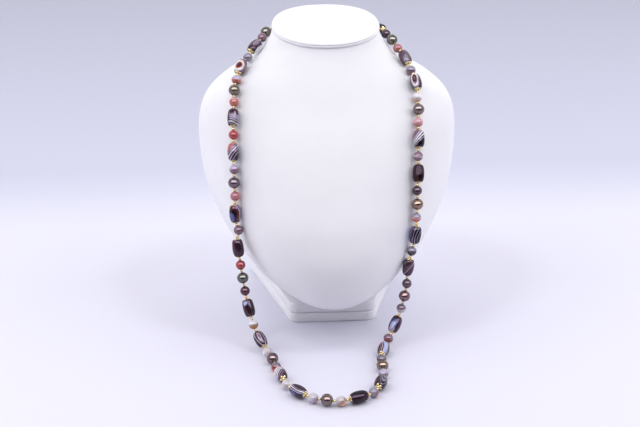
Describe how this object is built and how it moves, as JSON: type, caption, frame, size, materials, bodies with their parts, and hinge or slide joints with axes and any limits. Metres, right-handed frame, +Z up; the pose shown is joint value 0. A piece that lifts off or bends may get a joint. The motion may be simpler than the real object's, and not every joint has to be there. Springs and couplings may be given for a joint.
{
  "type": "beaded necklace on a neck bust stand",
  "caption": "Long necklace of pearls, round stones and banded barrel beads with gold spacers, laid round a covered neck bust and trailing onto the table.",
  "frame": {"origin": "on the table, under the middle of the whole object's bounding box", "axes": "+Z up, -Y towards the front, where the strand trails onto the table, +X to the viewer's right"},
  "size_m": [0.2232, 0.2928, 0.2445],
  "materials": {
    "pearl": "lustrous dark pearl",
    "agate": "polished banded agate",
    "gold_string": "polished gold spacers and caps with polished round stones",
    "covering": "smooth white leatherette"
  },
  "bodies": {
    "root": {"pearl_01": "pearl", "pearl_02": "pearl", "pearl_03": "pearl", "pearl_04": "pearl", "pearl_05": "pearl", "pearl_06": "pearl", "pearl_07": "pearl", "pearl_08": "pearl", "pearl_09": "pearl", "pearl_10": "pearl", "pearl_11": "pearl", "pearl_12": "pearl", "barrel_01": "agate", "barrel_02": "agate", "barrel_03": "agate", "barrel_04": "agate", "barrel_05": "agate", "barrel_06": "agate", "barrel_07": "agate", "barrel_08": "agate", "barrel_09": "agate", "barrel_10": "agate", "barrel_11": "agate", "barrel_12": "agate", "barrel_13": "agate", "barrel_14": "agate", "barrel_15": "agate", "barrel_16": "agate", "barrel_17": "agate", "barrel_18": "agate", "barrel_19": "agate", "barrel_20": "agate", "barrel_21": "agate", "barrel_22": "agate", "barrel_23": "agate", "barrel_24": "agate", "bead_string": "gold_string", "bust": "covering", "neck_cap": "covering", "base_upper": "covering", "base_lower": "covering"}
  },
  "joints": []
}
